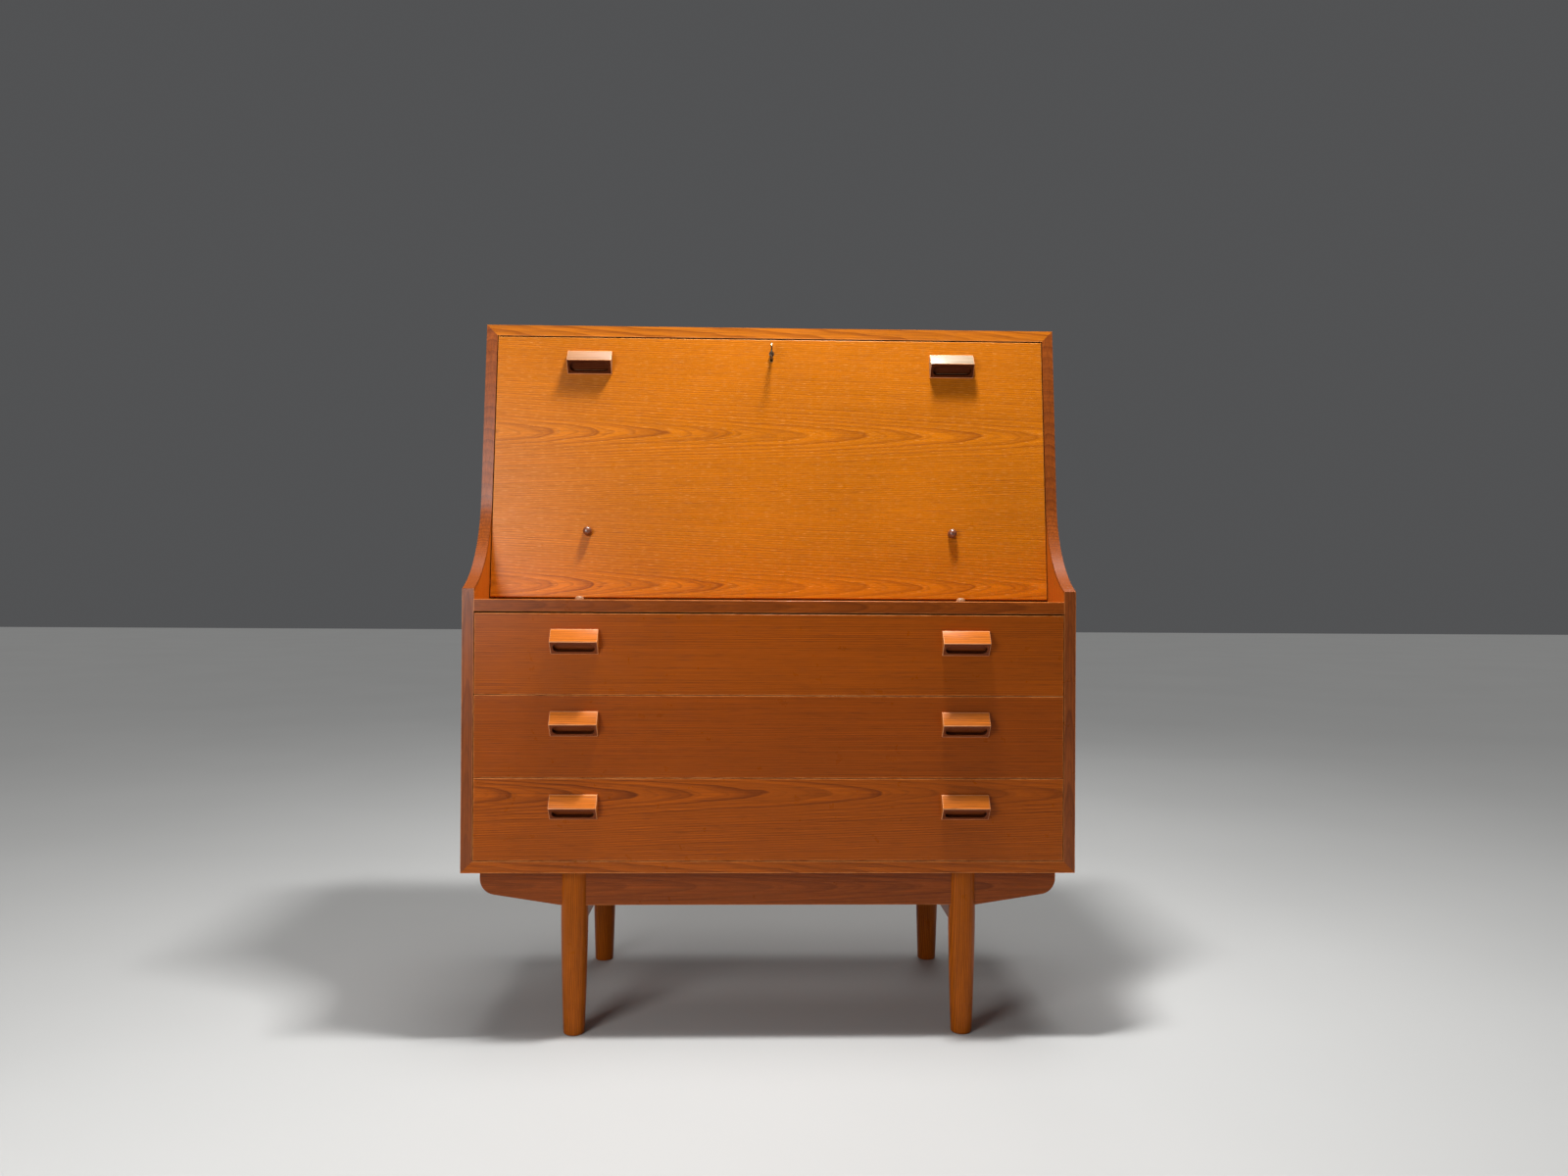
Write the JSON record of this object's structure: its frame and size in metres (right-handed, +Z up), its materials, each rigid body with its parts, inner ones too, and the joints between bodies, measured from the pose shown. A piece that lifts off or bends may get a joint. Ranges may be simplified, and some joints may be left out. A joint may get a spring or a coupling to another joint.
{
  "type": "secretary desk",
  "caption": "Fall-front secretary desk: a case of drawers on turned legs, with a leaning flap between swept side panels.",
  "frame": {"origin": "on the floor, below the middle of the whole desk's box", "axes": "+X to the right as seen from the front, +Y to the back, +Z up"},
  "size_m": [1.01, 0.4788, 1.209],
  "materials": {
    "case_veneer": "satin oiled teak veneer",
    "flap_veneer": "satin teak veneer, warm orange",
    "drawer_veneer": "satin teak veneer, red-brown",
    "solid_teak": "satin solid teak",
    "interior_wood": "satin veneer, lighter than the outside",
    "box_wood": "planed pale hardwood",
    "back_board": "plywood",
    "brass": "dulled brass",
    "key_metal": "worn brass",
    "screw_steel": "zinc-plated steel"
  },
  "bodies": {
    "case": {"side_panel_left": "case_veneer", "side_panel_right": "case_veneer", "side_edging_left": "solid_teak", "side_edging_right": "solid_teak", "top_panel": "case_veneer", "bottom_panel": "case_veneer", "back_panel_lower": "back_board", "back_panel_upper": "back_board", "back_panel_screws": "screw_steel", "ledge_panel": "case_veneer", "ledge_lipping": "solid_teak", "ledge_pegs": "solid_teak", "desk_floor": "interior_wood", "floor_bearers": "box_wood", "interior_shelf": "interior_wood", "interior_dividers": "interior_wood", "bay_shelves": "interior_wood", "pigeonhole_partitions": "interior_wood", "flap_stop_strip": "interior_wood", "pivot_bushes": "brass", "strike_plate": "brass", "drawer_runners": "box_wood", "base_front_rail": "solid_teak", "base_back_rail": "solid_teak", "base_side_rail_left": "solid_teak", "base_side_rail_right": "solid_teak", "leg_front_left": "solid_teak", "leg_front_right": "solid_teak", "leg_back_left": "solid_teak", "leg_back_right": "solid_teak", "base_screws": "screw_steel"},
    "flap": {"fall_front": "flap_veneer", "flap_pulls": "solid_teak", "flap_pegs": "solid_teak", "pivot_pins": "brass", "lock_case": "brass", "keyhole_liner": "brass", "lock_screws": "brass"},
    "key": {"key": "key_metal"},
    "lock_bolt": {"lock_bolt": "screw_steel"},
    "bottom_drawer": {"drawer_bottom_front": "drawer_veneer", "drawer_bottom_side_left": "box_wood", "drawer_bottom_side_right": "box_wood", "drawer_bottom_back": "box_wood", "drawer_bottom_bottom": "back_board", "drawer_bottom_pulls": "solid_teak"},
    "middle_drawer": {"drawer_middle_front": "drawer_veneer", "drawer_middle_side_left": "box_wood", "drawer_middle_side_right": "box_wood", "drawer_middle_back": "box_wood", "drawer_middle_bottom": "back_board", "drawer_middle_pulls": "solid_teak"},
    "top_drawer": {"drawer_top_front": "drawer_veneer", "drawer_top_side_left": "box_wood", "drawer_top_side_right": "box_wood", "drawer_top_back": "box_wood", "drawer_top_bottom": "back_board", "drawer_top_pulls": "solid_teak"},
    "left_small_drawer": {"small_drawer_left": "interior_wood"},
    "right_small_drawer": {"small_drawer_right": "interior_wood"}
  },
  "joints": [
    {"name": "flap_hinge", "type": "hinge", "parent": "case", "child": "flap", "pos_m": [0, -0.10318, 0.75238], "axis": [1, 0, 0], "range_deg": [0, 96.28]},
    {"name": "bottom_drawer_slide", "type": "slide", "parent": "case", "child": "bottom_drawer", "axis": [0, -1, 0], "range_m": [0, 0.3]},
    {"name": "middle_drawer_slide", "type": "slide", "parent": "case", "child": "middle_drawer", "axis": [0, -1, 0], "range_m": [0, 0.3]},
    {"name": "top_drawer_slide", "type": "slide", "parent": "case", "child": "top_drawer", "axis": [0, -1, 0], "range_m": [0, 0.3]},
    {"name": "left_small_drawer_slide", "type": "slide", "parent": "case", "child": "left_small_drawer", "axis": [0, -1, 0], "range_m": [0, 0.09]},
    {"name": "right_small_drawer_slide", "type": "slide", "parent": "case", "child": "right_small_drawer", "axis": [0, -1, 0], "range_m": [0, 0.09]},
    {"name": "key_turn", "type": "hinge", "parent": "flap", "child": "key", "pos_m": [0, -0.06776, 1.16105], "axis": [0, -0.994, 0.1094], "range_deg": [0, 180]},
    {"name": "bolt_slide", "type": "slide", "parent": "flap", "child": "lock_bolt", "axis": [0, 0.1094, 0.994], "range_m": [0, 0.008]}
  ],
  "couplings": [
    {"joint": "bolt_slide", "follows": "key_turn", "m_per_rad": 0.002546}
  ]
}
